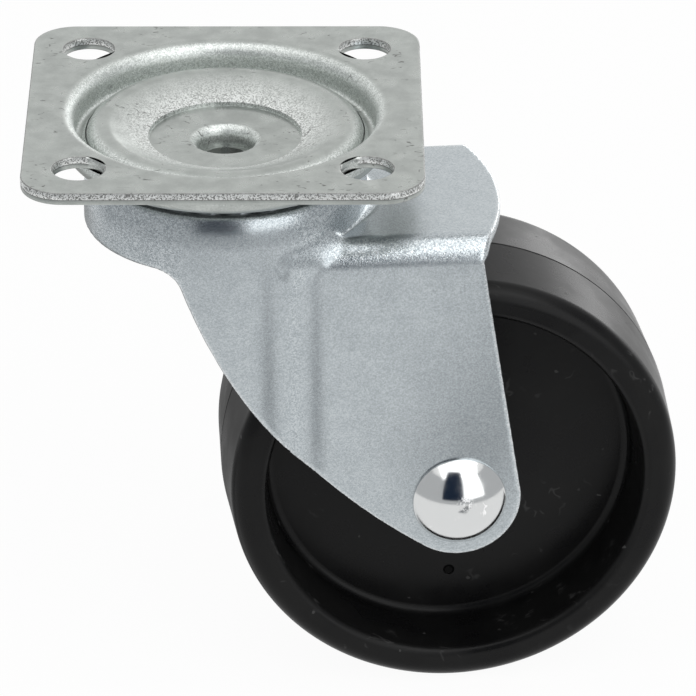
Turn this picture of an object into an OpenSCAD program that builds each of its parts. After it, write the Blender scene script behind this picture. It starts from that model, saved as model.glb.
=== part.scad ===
// Swivel castor for furniture: pressed steel plate and fork, two rows of balls, moulded wheel.
// Origin at the middle of the plate's top face, on the swivel axis. +Z up, wheel trails towards +X.
// All sizes in millimetres.

/* [Mounting plate] */
// Side of the square plate
plate_side = 42; // [41:0.5:60]
// Sheet thickness of the plate
plate_t = 1.4; // [1:0.1:1.8]
// Corner radius of the plate
plate_corner_r = 4.5; // [2:0.5:6]
// Distance between screw hole centres
hole_pitch = 30; // [28:0.5:32]
// Diameter of the screw holes
hole_d = 5.5; // [4:0.1:6]
// Width of the pressed groove round the dished middle
groove_w = 1.2; // [1:0.1:1.8]
// Depth of the groove below the plate's top
groove_depth = 3.4; // [3:0.1:3.8]
// Depth of the dish's crest below the plate's top
crest_depth = 1.5; // [1.2:0.1:1.8]
// Radius of the coined flat in the middle
coin_r = 8.2; // [7.5:0.1:9]
// Depth of the coined flat below the plate's top
coin_depth = 3.7; // [3.5:0.1:4]
// Height of the sharp step round the coined flat
coin_step = 0.3; // [0.1:0.1:0.4]
// Bore of the collar drawn down in the middle
collar_d = 6; // [5.4:0.1:7]
// Depth of the collar's end below the plate's top
collar_depth = 5.9; // [5.8:0.1:6.4]

/* [Swivel bearing] */
// Diameter of the bearing balls
ball_d = 3; // [2.6:0.1:3.4]
// Radius of the upper row of balls
upper_row_r = 11.1; // [10.6:0.1:11.6]
// Radius of the lower row of balls
lower_row_r = 9.6; // [9:0.1:10]
// Free way between neighbouring balls of a row
ball_spacing = 0.1; // [0.05:0.05:1]
// Running clearance between a ball and its track
ball_gap = 0.05; // [0.02:0.01:0.1]
// Clearance beside the balls, to the walls that keep them in their row
row_play = 0.9; // [0.5:0.1:1.2]
// Sheet thickness of the lower bearing cup
cup_t = 1.4; // [1:0.1:1.6]
// Diameter of the hole in the cup's middle
cup_hole_d = 4.8; // [3:0.1:5.6]
// Height of the cup's upturned rim above its track
cup_rim_h = 1.6; // [1.4:0.1:2]
// Clearance between the cup's middle and the hole in the fork's head
cup_gap = 0.6; // [0.3:0.1:1]

/* [Fork] */
// Sheet thickness of the fork
fork_t = 1.5; // [1.2:0.1:1.8]
// Width of the head's shoulder, outside the upper balls
shoulder_w = 2.6; // [2.4:0.1:3.2]
// Clearance between the upper balls and the shoulder's slope
shoulder_gap = 0.1; // [0.05:0.05:0.2]
// Height of the shoulder above the upper ball track
shoulder_h = 0.8; // [0.5:0.1:1]
// Outside radius of the shoulder
shoulder_r = 1.95; // [1.6:0.05:2]
// Height of the head above the web
head_h = 4.8; // [4:0.1:6]
// Outside radius of the folds between web and legs
fold_r = 2.5; // [2:0.1:3]
// Fillet where the head rises from the web
head_fillet = 1.3; // [0.8:0.1:2.2]
// Hollow blend from the round head to the flat leg
side_blend_r = 10; // [6:0.5:14]
// Depth of the skirt below the web's top
skirt_h = 1.8; // [1.6:0.1:3]
// Where the skirt runs into the legs' front edges, ahead of the swivel axis
skirt_run = 6.6; // [5:0.1:8]
// Fillet between the skirt and the leg's front edge
skirt_fillet = 3; // [1:0.5:4]
// Radius of the leg's bowed front edge
leg_front_r = 66; // [50:1:90]
// Radius of the round leg end
leg_end_r = 6.75; // [6:0.05:8]
// Distance from the axle back to the web's rear edge
web_overhang = 5.4; // [4:0.1:7]

/* [Wheel] */
// Diameter of the wheel
wheel_d = 49.6; // [44:0.2:60]
// Width of the wheel at its rim
wheel_w = 20.4; // [17:0.2:22]
// Fall of the tread from its middle to its edges
tread_crown = 0.5; // [0.2:0.1:1]
// Rounding of the tread's edges
tread_edge_r = 2; // [1:0.1:2.4]
// Width of the parting groove round the tread
parting_w = 0.3; // [0.2:0.05:0.6]
// Thickness of the rim at its face
rim_t = 3.7; // [3.4:0.1:6]
// Rounding of the rim's inner lip
lip_r = 1; // [0.3:0.1:1]
// Slope of the recess wall, narrowing inwards
recess_draft = 4; // [1:0.5:8]
// Thickness of the disc between rim and hub
disc_t = 5.2; // [3:0.1:8]
// Fillet between the disc and the walls round it
disc_fillet = 1; // [0.3:0.1:1.5]
// Wall of the hub round its bore
hub_t = 2; // [1.5:0.1:3]
// Gap between the wheel's rim and each leg
side_gap = 1.36; // [1:0.02:2]
// Gap between the tread and the web above it
tread_gap = 4.8; // [4:0.1:8]
// Distance from the swivel axis to the axle
trail = 24; // [20:0.5:30]

/* [Axle] */
// Diameter of the rivet's shank
axle_d = 6; // [5:0.1:6.6]
// Diameter of the rivet's domed head
rivet_head_d = 10; // [8.5:0.1:11.5]
// Height of the rivet's domed head with its flange
rivet_head_h = 2.9; // [2:0.1:4]
// Diameter of the flange under the domed head
rivet_flange_d = 10.2; // [10:0.1:12]
// Height of that flange
rivet_flange_h = 0.4; // [0.2:0.1:0.8]
// Diameter of the upset head on the far leg
upset_d = 9; // [8:0.1:10]
// Height of the upset head
upset_h = 2; // [1.5:0.1:3]
// Wall of the spacer sleeve on the shank
sleeve_t = 0.9; // [0.6:0.1:1.2]
// Clearance between the sleeve and the shank
sleeve_gap = 0.05; // [0.02:0.01:0.1]
// Running clearance between the hub's bore and the sleeve
hub_gap = 0.05; // [0.02:0.01:0.1]
// Clearance between each end of the hub and its leg
hub_end_gap = 0.3; // [0.1:0.05:0.6]

/* [Pose] */
// Turn of the fork about the swivel axis
swivel_turn = 5.5; // [-180:0.5:180]

/* [Hidden] */
$fn = 96;
zinc = "#b4b8b8";
blue_zinc = "#aab2b8";
polished_steel = "#c8ccd0";
black_plastic = "#1c1c1e";

// Reach of cutting shapes past the faces they open
past = 1;
// How far round shapes bite into each other, so that they meet in a clean edge
bite = 0.05;
// Largest turn of one step along a rounded corner
arc_step = 9;

// Ball rows: as many balls as fit, with their walls on the plate
ball_r = ball_d / 2;
upper_balls = balls_in_row(upper_row_r);
lower_balls = balls_in_row(lower_row_r);
dish_wall_in = upper_row_r + ball_r + row_play;

// Plate, along the middle of its sheet from the flat border to the collar
dish_slope = 22;
lip_bend = 0.9;
groove_flat = 0.04;
groove_bend = (groove_w + plate_t - groove_flat) / 2;
crest_bend = 1.3;
dish_bend = 4;
collar_bend = 0.75;
dish_r = dish_wall_in + plate_t / 2;
lip_r_mid = dish_wall_in + 3 * plate_t / 2 + groove_w;
flat_r = lip_r_mid + lip_bend + past;
collar_r = (collar_d + plate_t) / 2;
plate_z = -plate_t / 2;
groove_z = -groove_depth - plate_t / 2;
coin_z = -coin_depth + coin_step / 2 - plate_t / 2;
// Corner of the unbent sheet, above the crest that the bend leaves
crest_z = -crest_depth - plate_t / 2 - crest_bend + crest_bend * tan((90 + dish_slope) / 2);
dish_floor_r = dish_r - (crest_z - coin_z) / tan(dish_slope);
plate_path = [
    [flat_r, plate_z],
    [lip_r_mid, plate_z],
    [lip_r_mid, groove_z],
    [dish_r, groove_z],
    [dish_r, crest_z],
    [dish_floor_r, coin_z],
    [collar_r, coin_z],
    [collar_r, -collar_depth]
];
plate_bends = [0, lip_bend, groove_bend, groove_bend, crest_bend, dish_bend, collar_bend, 0];

// Heights of the ball rows and of the tracks under them
dish_under_z = crest_z - (dish_r - upper_row_r) * tan(dish_slope) - plate_t / 2 / cos(dish_slope);
upper_row_z = dish_under_z - (ball_r + ball_gap) / cos(dish_slope);
head_track_z = upper_row_z - ball_r - ball_gap;
lower_row_z = head_track_z - fork_t - ball_gap - ball_r;
cup_track_z = lower_row_z - ball_r - ball_gap;

// Lower cup, along the middle of its sheet from its hole to its rim
cup_bend = 1.2;
boss_wall = 2;
boss_r = collar_r + boss_wall;
cup_rim_r = lower_row_r + ball_r + 2 * ball_gap + cup_t / 2;
boss_z = -collar_depth - cup_t / 2;
cup_z = cup_track_z - cup_t / 2;
cup_path = [
    [cup_hole_d / 2, boss_z],
    [boss_r, boss_z],
    [boss_r, cup_z],
    [cup_rim_r, cup_z],
    [cup_rim_r, cup_track_z + cup_rim_h]
];
cup_bends = [0, cup_bend, cup_bend, cup_bend, 0];

// Fork
fork_half_w = wheel_w / 2 + side_gap;
leg_y = fork_half_w + fork_t;
head_r = upper_row_r + ball_r + shoulder_w;
head_top_z = head_track_z + shoulder_h;
head_hole_r = boss_r + cup_t / 2 + cup_gap;
web_z = head_top_z - head_h;
fold_z = web_z - fold_r;
skirt_z = web_z - skirt_h;
axle_z = web_z - fork_t - tread_gap - wheel_d / 2;
leg_foot_z = axle_z - leg_end_r - past;
web_rear_r = trail + web_overhang;
fork_reach = web_rear_r + leg_end_r;
blend_c = [
    sqrt(pow(head_r + side_blend_r - bite, 2) - pow(leg_y + side_blend_r - bite, 2)),
    leg_y + side_blend_r - bite
];

// Head, along the middle of its sheet from the axis to the foot of its wall
head_wall_r = head_r - fork_t / 2;
track_z = head_track_z - fork_t / 2;
track_bend = 0.8;
rise_bend = 0.4;
// The shoulder's slope stays clear of the upper balls, and its rounding stays outside the slope
rise_slope = 45;
rise_reach = ball_r + shoulder_gap + fork_t / 2 - (upper_row_z - track_z) * cos(rise_slope);
rise_foot_r = upper_row_r + rise_reach / sin(rise_slope);
rise_r = rise_foot_r + shoulder_h / tan(rise_slope);
shoulder_room = head_wall_r - rise_r - rise_bend * tan(rise_slope / 2);
head_path = [
    [0, track_z],
    [rise_foot_r, track_z],
    [rise_r, track_z + shoulder_h],
    [head_wall_r, track_z + shoulder_h],
    [head_wall_r, leg_foot_z]
];
head_bends = [0, track_bend, rise_bend, min(shoulder_r - fork_t / 2, shoulder_room), 0];

// Axle and wheel
leg_hole_r = axle_d / 2;
sleeve_in_r = leg_hole_r + sleeve_gap;
sleeve_out_r = sleeve_in_r + sleeve_t;
hub_bore_r = sleeve_out_r + hub_gap;
hub_r = hub_bore_r + hub_t;
hub_half_w = fork_half_w - hub_end_gap;
wheel_r = wheel_d / 2;

// Number of balls that fit side by side in a row
function balls_in_row(row_r) = floor(180 / asin((ball_d + ball_spacing) / 2 / row_r));
// Name of one ball, with a number of two digits
function ball_name(stem, i) = str(stem, i < 10 ? "0" : "", i);
// Direction from a to b
function unit(a, b) = (b - a) / norm(b - a);
// Direction u turned a quarter turn to the left
function left(u) = [-u[1], u[0]];
// Direction u turned by an angle
function turned(u, angle) = u * cos(angle) + left(u) * sin(angle);
// Angle from direction u to direction v, positive to the left
function turn(u, v) = atan2(u[0] * v[1] - u[1] * v[0], u * v);
function reversed(list) = [for (i = [len(list) - 1:-1:0]) list[i]];

// Points beside a path, at a distance to its left, with an arc of radius bends[i] at each corner
function beside(path, bends, distance) =
    let (last = len(path) - 1)
    concat(
        [path[0] + distance * left(unit(path[0], path[1]))],
        [
            for (i = [1:last - 1])
                let (
                    u = unit(path[i - 1], path[i]),
                    angle = turn(u, unit(path[i], path[i + 1])),
                    side = sign(angle) * bends[i],
                    centre = path[i] - u * bends[i] * tan(abs(angle) / 2) + side * left(u),
                    steps = ceil(abs(angle) / arc_step)
                )
                for (k = [0:steps]) centre + (distance - side) * left(turned(u, angle * k / steps))
        ],
        [path[last] + distance * left(unit(path[last - 1], path[last]))]
    );

// Section of a sheet of even thickness that follows a bent path
module sheet_section(path, bends, t) {
    polygon(concat(beside(path, bends, t / 2), reversed(beside(path, bends, -t / 2))));
}

module rounded_square(side, r) {
    square([side - 2 * r, side], center = true);
    square([side, side - 2 * r], center = true);
    for (x = [-1, 1], y = [-1, 1])
        translate([x, y] * (side / 2 - r)) circle(r);
}

// Everything that turns with the fork
module swivelled() {
    rotate(swivel_turn) children();
}

// A shape drawn about Z, laid along the axle with its top towards the near leg
module along_axle() {
    swivelled() translate([trail, 0, axle_z]) rotate([90, 0, 0]) children();
}

module top_plate() {
    color(zinc) difference() {
        union() {
            translate([0, 0, -plate_t]) linear_extrude(plate_t) difference() {
                rounded_square(plate_side, plate_corner_r);
                circle(flat_r);
            }
            rotate_extrude() sheet_section(plate_path, plate_bends, plate_t);
        }
        translate([0, 0, -coin_depth]) cylinder(r = coin_r, h = coin_depth + past);
        for (x = [-1, 1], y = [-1, 1])
            translate([x * hole_pitch / 2, y * hole_pitch / 2, -plate_t - past])
                cylinder(d = hole_d, h = plate_t + 2 * past);
    }
}

module lower_bearing_cup() {
    color(zinc) rotate_extrude() sheet_section(cup_path, cup_bends, cup_t);
}

// One ball of a row, at an even place round the swivel axis
module row_ball(row_r, row_z, i, count) {
    color(polished_steel) rotate(360 * i / count) translate([row_r, 0, row_z]) sphere(ball_r);
}

// Solid under one face of the head's sheet: distance picks the face
module head_body(distance) {
    rotate_extrude() polygon(concat(beside(head_path, head_bends, distance), [[0, leg_foot_z]]));
}

// Straight channel under the web, between the legs: inset is 0 outside and the sheet inside
module channel_body(inset, rise = 0) {
    half = leg_y - inset;
    top = web_z - inset + rise;
    bend = fold_r - inset + rise;
    foot = leg_foot_z - inset;
    length = fork_reach + inset;
    translate([0, -half, foot]) cube([length, 2 * half, top - bend - foot]);
    translate([0, bend - half, foot]) cube([length, 2 * (half - bend), top - foot]);
    for (s = [-1, 1])
        translate([0, s * (half - bend), top - bend]) rotate([0, 90, 0]) cylinder(r = bend, h = length);
}

// Hollow blends between the head and the legs, folded over at the web like the legs
module side_blends(inset) {
    half = leg_y - inset;
    top = web_z - inset;
    bend = fold_r - inset;
    foot = leg_foot_z - inset;
    on_head = blend_c * (head_r - inset) / norm(blend_c);
    inner_y = half - 2 * bend;
    near = side_blend_r + inset;
    far = blend_c[1] - inner_y + head_r;
    for (s = [-1, 1]) intersection() {
        translate([0, 0, foot]) linear_extrude(top - foot) polygon([
            [on_head[0], s * on_head[1]],
            [blend_c[0], s * (half + bite)],
            [blend_c[0], s * inner_y],
            [on_head[0], s * inner_y]
        ]);
        translate([blend_c[0], s * blend_c[1], 0]) rotate_extrude()
            polygon(beside(
                [[far, foot - past], [near, foot - past], [near, top], [far, top]],
                [0, 0, bend, 0], 0
            ));
    }
}

// Fillet round the foot of the head, running out into the folds
module head_foot() {
    size = head_fillet - bite;
    intersection() {
        translate([0, 0, web_z]) rotate_extrude() difference() {
            translate([head_r - past, -fold_r]) square([size + past, size + fold_r]);
            translate([head_r + size, size]) circle(head_fillet);
        }
        channel_body(bite, size);
    }
}

// Side view of the fork: skirt, legs and round leg ends, drawn in X and Z
module side_view() {
    axle = [trail, axle_z];
    skirt_end = [-skirt_run, skirt_z];
    // Middle of the bowed front edge: it passes the skirt's end and touches the round leg end
    chord = unit(skirt_end, axle);
    gap = norm(axle - skirt_end);
    reach = leg_front_r - leg_end_r + bite;
    along = (gap * gap + leg_front_r * leg_front_r - reach * reach) / (2 * gap);
    bow_c = skirt_end + chord * along + left(chord) * sqrt(leg_front_r * leg_front_r - along * along);
    bow_foot = axle + unit(bow_c, axle) * (leg_end_r - 2 * bite);
    // Middle of the fillet in the corner under the skirt
    fillet_reach = leg_front_r + skirt_fillet - bite;
    fillet_z = skirt_z - skirt_fillet + bite;
    fillet_c = [bow_c[0] - sqrt(pow(fillet_reach, 2) - pow(bow_c[1] - fillet_z, 2)), fillet_z];
    // Rear edge: straight, from the fold to the round leg end
    rear_top = [sqrt(pow(web_rear_r, 2) - pow(leg_y, 2)), fold_z];
    rear_len = norm(axle - rear_top);
    rear_tilt = asin((leg_end_r - bite) / rear_len);
    rear_foot = rear_top + turned(unit(rear_top, axle), rear_tilt) * rear_len * cos(rear_tilt);
    translate([-head_r - past, skirt_z]) square([head_r + 2 * past, head_top_z - skirt_z + past]);
    translate(axle) circle(leg_end_r);
    intersection() {
        translate(bow_c) circle(leg_front_r);
        polygon([
            [-head_r, skirt_z + fold_r],
            [-head_r, bow_foot[1]],
            bow_foot,
            axle,
            rear_foot,
            rear_top,
            [rear_top[0], skirt_z + fold_r]
        ]);
    }
    difference() {
        polygon([
            [fillet_c[0], skirt_z + past],
            [fillet_c[0], skirt_z - bite],
            fillet_c + unit(fillet_c, bow_c) * skirt_fillet,
            [0, fillet_z],
            [0, skirt_z + past]
        ]);
        translate(fillet_c) circle(skirt_fillet);
    }
}

module fork() {
    color(blue_zinc) swivelled() difference() {
        intersection() {
            difference() {
                union() {
                    union() {
                        head_body(fork_t / 2);
                        channel_body(0);
                        head_foot();
                    }
                    side_blends(0);
                }
                union() {
                    head_body(-fork_t / 2);
                    channel_body(fork_t);
                    side_blends(fork_t);
                }
            }
            union() {
                rotate(-90) rotate_extrude(angle = 180)
                    translate([0, fold_z]) square([web_rear_r, head_top_z - fold_z + past]);
                rotate([90, 0, 0]) translate([0, 0, -head_r - past])
                    linear_extrude(2 * (head_r + past)) side_view();
            }
        }
        translate([0, 0, head_track_z - fork_t - past])
            cylinder(r = head_hole_r, h = fork_t + shoulder_h + 2 * past);
        translate([trail, head_r + past, axle_z]) rotate([90, 0, 0])
            cylinder(r = leg_hole_r, h = 2 * (head_r + past));
    }
}

// Half of the wheel's section, from the hub's bore out to the parting groove
function wheel_half() =
    let (
        half = wheel_w / 2,
        disc = disc_t / 2,
        edge_r = wheel_r - tread_crown,
        rim_in_r = edge_r - rim_t
    )
    beside(
        [
            [hub_bore_r, hub_half_w],
            [hub_r, hub_half_w],
            [hub_r, disc],
            [rim_in_r - (half - disc) * tan(recess_draft), disc],
            [rim_in_r, half],
            [edge_r, half],
            [wheel_r, parting_w / 2],
            [wheel_r - parting_w / 2, 0]
        ],
        [0, disc_fillet / 2, disc_fillet, disc_fillet, lip_r, tread_edge_r, 0, 0],
        0
    );

module wheel() {
    half = wheel_half();
    mirrored = [for (p = reversed(half)) if (p[1] > 0) [p[0], -p[1]]];
    color(black_plastic) along_axle() rotate_extrude() polygon(concat(half, mirrored));
}

// A domed rivet head that sits on Z = 0
module domed_head(d, h) {
    ball = (d * d / 4 + h * h) / (2 * h);
    intersection() {
        translate([0, 0, h - ball]) sphere(ball);
        cylinder(d = d + past, h = h + past);
    }
}

module axle_rivet() {
    color(polished_steel) along_axle() {
        translate([0, 0, -leg_y]) cylinder(r = leg_hole_r, h = 2 * leg_y);
        translate([0, 0, leg_y]) cylinder(d = rivet_flange_d, h = rivet_flange_h);
        translate([0, 0, leg_y + rivet_flange_h]) domed_head(rivet_head_d, rivet_head_h - rivet_flange_h);
        translate([0, 0, -leg_y]) mirror([0, 0, 1]) domed_head(upset_d, upset_h);
    }
}

module axle_sleeve() {
    color(polished_steel) along_axle() difference() {
        translate([0, 0, -fork_half_w]) cylinder(r = sleeve_out_r, h = 2 * fork_half_w);
        translate([0, 0, -fork_half_w - past]) cylinder(r = sleeve_in_r, h = 2 * (fork_half_w + past));
    }
}

top_plate();
lower_bearing_cup();
fork();
axle_rivet();
axle_sleeve();
wheel();
for (i = [1:upper_balls])
    row_ball(upper_row_r, upper_row_z, i, upper_balls);
for (i = [1:lower_balls])
    row_ball(lower_row_r, lower_row_z, i, lower_balls);
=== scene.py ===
"""Looks of a furniture swivel castor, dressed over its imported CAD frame.

Every length is in metres and in the frame's own axes: the origin lies on the plate's top face, on
the swivel axis, with +Z up and the wheel trailing towards +X.
"""

import logging
import math
from dataclasses import dataclass
from enum import Enum
from typing import Any, Optional, Sequence, Union

import bmesh
import bpy
import numpy as np
from mathutils import Matrix, Vector


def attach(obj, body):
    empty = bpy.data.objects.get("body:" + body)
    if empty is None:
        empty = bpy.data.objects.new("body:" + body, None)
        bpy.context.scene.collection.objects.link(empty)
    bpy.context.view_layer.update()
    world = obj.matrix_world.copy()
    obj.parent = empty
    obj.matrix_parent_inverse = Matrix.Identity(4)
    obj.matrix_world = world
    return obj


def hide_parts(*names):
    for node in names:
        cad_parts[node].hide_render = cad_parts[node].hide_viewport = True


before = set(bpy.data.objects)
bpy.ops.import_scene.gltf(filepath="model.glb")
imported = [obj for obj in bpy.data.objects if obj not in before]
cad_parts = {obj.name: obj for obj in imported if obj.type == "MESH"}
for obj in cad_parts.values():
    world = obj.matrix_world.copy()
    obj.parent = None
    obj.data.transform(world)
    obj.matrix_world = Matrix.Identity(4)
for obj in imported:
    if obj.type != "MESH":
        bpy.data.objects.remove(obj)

MM = 0.001
TINY = 1e-7
Point = tuple[float, float]
Point3 = tuple[float, float, float]
Colour = tuple[float, float, float]
SocketValue = Union[bpy.types.NodeSocket, float, int, tuple, Vector]

log = logging.getLogger("castor")


class Body(Enum):
    """Names of the frame's bodies."""

    PLATE = "plate"
    FORK = "fork_unit"
    WHEEL = "wheel_unit"


class Slot(Enum):
    """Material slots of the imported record."""

    PLATE = "plate_steel"
    FORK = "fork_steel"
    POLISHED = "polished_steel"
    WHEEL = "wheel_plastic"


class Effect(Enum):
    """Shared shader node groups."""

    GRAIN = "sheet_grain"
    SCRATCHES = "hair_scratches"
    SPOT = "round_spot"


class Stand(Enum):
    """Ways in which a lamp or card is set up."""

    AIMED = "faces the castor"
    UPRIGHT = "stands upright"
    FLAT = "lies on the floor"


class Mark(Enum):
    """Values that a mesh carries at its points for its finish to read."""

    # First mark: bent zones, rougher and coarser, whose lighter colour is partly a painted sheen.
    PRESSED = "pressed"
    # Second mark: rubbed edges, together with painted edge highlights.
    WEAR_AND_HIGHLIGHT = "wear_and_highlight"
    # Third mark: lines of painted shade along dips, edge corners and grooves.
    PAINTED_SHADE = "painted_shade"


# Plane curves and meshes


def unit(a: Vector, b: Vector) -> Vector:
    """Gives the direction from a to b."""
    return (b - a).normalized()


def left(u: Vector) -> Vector:
    """Turns a plane direction a quarter turn to the left."""
    return Vector((-u.y, u.x))


def beside(path: Sequence[Point], bends: Sequence[float], offset: float,
           step: float = 5.0) -> list[Point]:
    """Follows a bent path at a distance, with an arc at each corner.

    Args:
        path: Corners of the path, unbent.
        bends: Bend radius at each corner, 0 for a sharp one.
        offset: Distance to the left of the path.
        step: Largest turn of one step along an arc, in degrees.

    Returns:
        The points beside the path, in its own order.
    """
    corners = [Vector(p) for p in path]
    points = [corners[0] + offset * left(unit(corners[0], corners[1]))]
    for i in range(1, len(corners) - 1):
        u, v = unit(corners[i - 1], corners[i]), unit(corners[i], corners[i + 1])
        angle = math.atan2(u.x * v.y - u.y * v.x, u.dot(v))
        side = math.copysign(bends[i], angle)
        centre = corners[i] - u * bends[i] * math.tan(abs(angle) / 2) + side * left(u)
        steps = max(1, math.ceil(math.degrees(abs(angle)) / step))
        for k in range(steps + 1):
            turned = Matrix.Rotation(angle * k / steps, 2) @ u
            points.append(centre + (offset - side) * left(turned))
    points.append(corners[-1] + offset * left(unit(corners[-2], corners[-1])))
    return [(p.x, p.y) for p in points]


def spin(bm: bmesh.types.BMesh, profile: Sequence[Point], turns: int, closed: bool) -> None:
    """Turns a profile of radius and height once about Z.

    Args:
        bm: Mesh that takes the faces.
        profile: Points of the profile, outside to its left.
        turns: Number of steps round the axis.
        closed: True where the profile's last point joins its first.
    """
    rings: list[list[bmesh.types.BMVert]] = []
    for r, z in profile:
        if r < TINY:
            rings.append([bm.verts.new((0, 0, z))] * turns)
        else:
            angles = [math.tau * k / turns for k in range(turns)]
            rings.append([bm.verts.new((r * math.cos(a), r * math.sin(a), z)) for a in angles])
    last = len(rings) if closed else len(rings) - 1
    for i in range(last):
        a, b = rings[i], rings[(i + 1) % len(rings)]
        for k in range(turns):
            quad = [a[k], b[k], b[(k + 1) % turns], a[(k + 1) % turns]]
            bm.faces.new(list(dict.fromkeys(quad)))


def loop(bm: bmesh.types.BMesh, points: Sequence[Point], z: float) -> list[bmesh.types.BMVert]:
    """Adds a ring of points at one height and returns its vertices."""
    return [bm.verts.new((x, y, z)) for x, y in points]


def bridge(bm: bmesh.types.BMesh, rings: Sequence[Sequence[bmesh.types.BMVert]]) -> None:
    """Joins each ring of vertices to the next with quads."""
    for a, b in zip(rings, rings[1:]):
        for k in range(len(a)):
            n = (k + 1) % len(a)
            bm.faces.new((a[k], b[k], b[n], a[n]))


def circle(r: float, count: int, at: Point = (0, 0)) -> list[Point]:
    """Gives the points of a circle."""
    angles = [math.tau * k / count for k in range(count)]
    return [(at[0] + r * math.cos(a), at[1] + r * math.sin(a)) for a in angles]


def rounded_square(side: float, r: float, per_corner: int = 16) -> list[Point]:
    """Gives the outline of a square with round corners, starting at +X +Y."""
    points = []
    for q, (sx, sy) in enumerate(((1, 1), (-1, 1), (-1, -1), (1, -1))):
        for k in range(per_corner + 1):
            a = math.radians(90 * q + 90 * k / per_corner)
            middle = side / 2 - r
            points.append((sx * middle + r * math.cos(a), sy * middle + r * math.sin(a)))
    return points


def finish_mesh(name: str, bm: bmesh.types.BMesh, place: Matrix,
                sharp: float = 40.0) -> bpy.types.Object:
    """Makes an object from a bmesh, smooth except at its sharp edges.

    Args:
        name: Name of the piece.
        bm: Mesh in its own axes; it is freed.
        place: Where the mesh goes in the frame.
        sharp: Edges that turn more than this many degrees stay sharp.

    Returns:
        The new object, with weighted normals.
    """
    bmesh.ops.remove_doubles(bm, verts=bm.verts, dist=TINY)
    bmesh.ops.transform(bm, matrix=place, verts=bm.verts)
    bmesh.ops.recalc_face_normals(bm, faces=bm.faces)
    for face in bm.faces:
        face.smooth = True
    for edge in bm.edges:
        edge.smooth = edge.calc_face_angle(math.pi) < math.radians(sharp)
    piece = make_piece(name, bm)
    link(piece)
    weigh_normals(piece)
    return piece


def make_piece(name: str, bm: bmesh.types.BMesh) -> bpy.types.Object:
    """Makes an object from a bmesh, which is freed; the object isn't in the scene yet."""
    mesh = bpy.data.meshes.new(name)
    bm.to_mesh(mesh)
    bm.free()
    return bpy.data.objects.new(name, mesh)


def link(piece: bpy.types.Object) -> None:
    """Puts an object in the scene."""
    bpy.context.scene.collection.objects.link(piece)


def weigh_normals(piece: bpy.types.Object) -> None:
    """Lets large faces set a piece's normals, so flats stay flat beside their curves."""
    modifier = piece.modifiers.new("weighted_normals", "WEIGHTED_NORMAL")
    modifier.mode = "FACE_AREA"
    modifier.weight = 100
    modifier.keep_sharp = True


def mark(piece: bpy.types.Object, kind: Mark, values: np.ndarray) -> None:
    """Stores one value from 0 to 1 at each point of a piece's mesh."""
    layer = piece.data.attributes.new(kind.value, "FLOAT", "POINT")
    layer.data.foreach_set("value", np.clip(values, 0.0, 1.0).astype(np.float32))


def points_and_normals(piece: bpy.types.Object) -> tuple[np.ndarray, np.ndarray]:
    """Gives the points of a piece's mesh and their normals, one row each."""
    count = len(piece.data.vertices)
    points, normals = np.empty(count * 3), np.empty(count * 3)
    piece.data.vertices.foreach_get("co", points)
    piece.data.vertices.foreach_get("normal", normals)
    return points.reshape(-1, 3), normals.reshape(-1, 3)


def step_up(value: np.ndarray, low: float, high: float) -> np.ndarray:
    """Rises smoothly from 0 at low to 1 at high."""
    t = np.clip((value - low) / (high - low), 0.0, 1.0)
    return t * t * (3.0 - 2.0 * t)


def wear(piece: bpy.types.Object, material: bpy.types.Material) -> None:
    """Gives a piece one material in place of any it has."""
    piece.data.materials.clear()
    piece.data.materials.append(material)


# Solids as distance fields: negative inside, positive outside


def corner(a: np.ndarray, b: np.ndarray, r: float, power: float = 2.0) -> np.ndarray:
    """Gives the solid behind two faces that meet in a round corner, flatter below the power 2."""
    outside = (np.maximum(a + r, 0.0) ** power + np.maximum(b + r, 0.0) ** power) ** (1.0 / power)
    return outside + np.minimum(np.maximum(a, b) + r, 0.0) - r


def oval_corner(a: np.ndarray, b: np.ndarray, ra: float, rb: float) -> np.ndarray:
    """Gives the solid behind two faces that meet in a quarter of an oval."""
    u, v = np.maximum(a / ra + 1.0, 0.0), np.maximum(b / rb + 1.0, 0.0)
    size = np.hypot(u, v)
    steepness = np.maximum(np.hypot(u / ra, v / rb), 1e-6)
    deep_inside = 0.2
    return np.where(size > deep_inside, (size - 1.0) * size / steepness, np.maximum(a, b))


def join(a: np.ndarray, b: np.ndarray, r: float) -> np.ndarray:
    """Joins two solids with a hollow fillet between them."""
    hollow = np.hypot(np.maximum(r - a, 0.0), np.maximum(r - b, 0.0))
    return np.maximum(r, np.minimum(a, b)) - hollow


def common(a: np.ndarray, b: np.ndarray, r: float) -> np.ndarray:
    """Gives what two solids share, with its new edge eased over the width r."""
    near = np.maximum(r - np.abs(a - b), 0.0) / r
    return np.maximum(a, b) + near * near * r / 4.0


def outline_distance(x: np.ndarray, z: np.ndarray, outline: Sequence[Point]) -> np.ndarray:
    """Gives the distance to a closed outline in the X and Z plane, negative inside it."""
    best = np.full(np.broadcast(x, z).shape, np.inf)
    inside = np.zeros(best.shape, dtype=bool)
    for (ax, az), (bx, bz) in zip(outline, [*outline[1:], outline[0]]):
        ex, ez = bx - ax, bz - az
        wx, wz = x - ax, z - az
        t = np.clip((wx * ex + wz * ez) / (ex * ex + ez * ez), 0.0, 1.0)
        best = np.minimum(best, (wx - ex * t) ** 2 + (wz - ez * t) ** 2)
        if ez:
            inside ^= ((az > z) != (bz > z)) & (wx < ex * wz / ez)
    return np.where(inside, -1.0, 1.0) * np.sqrt(best)


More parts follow.
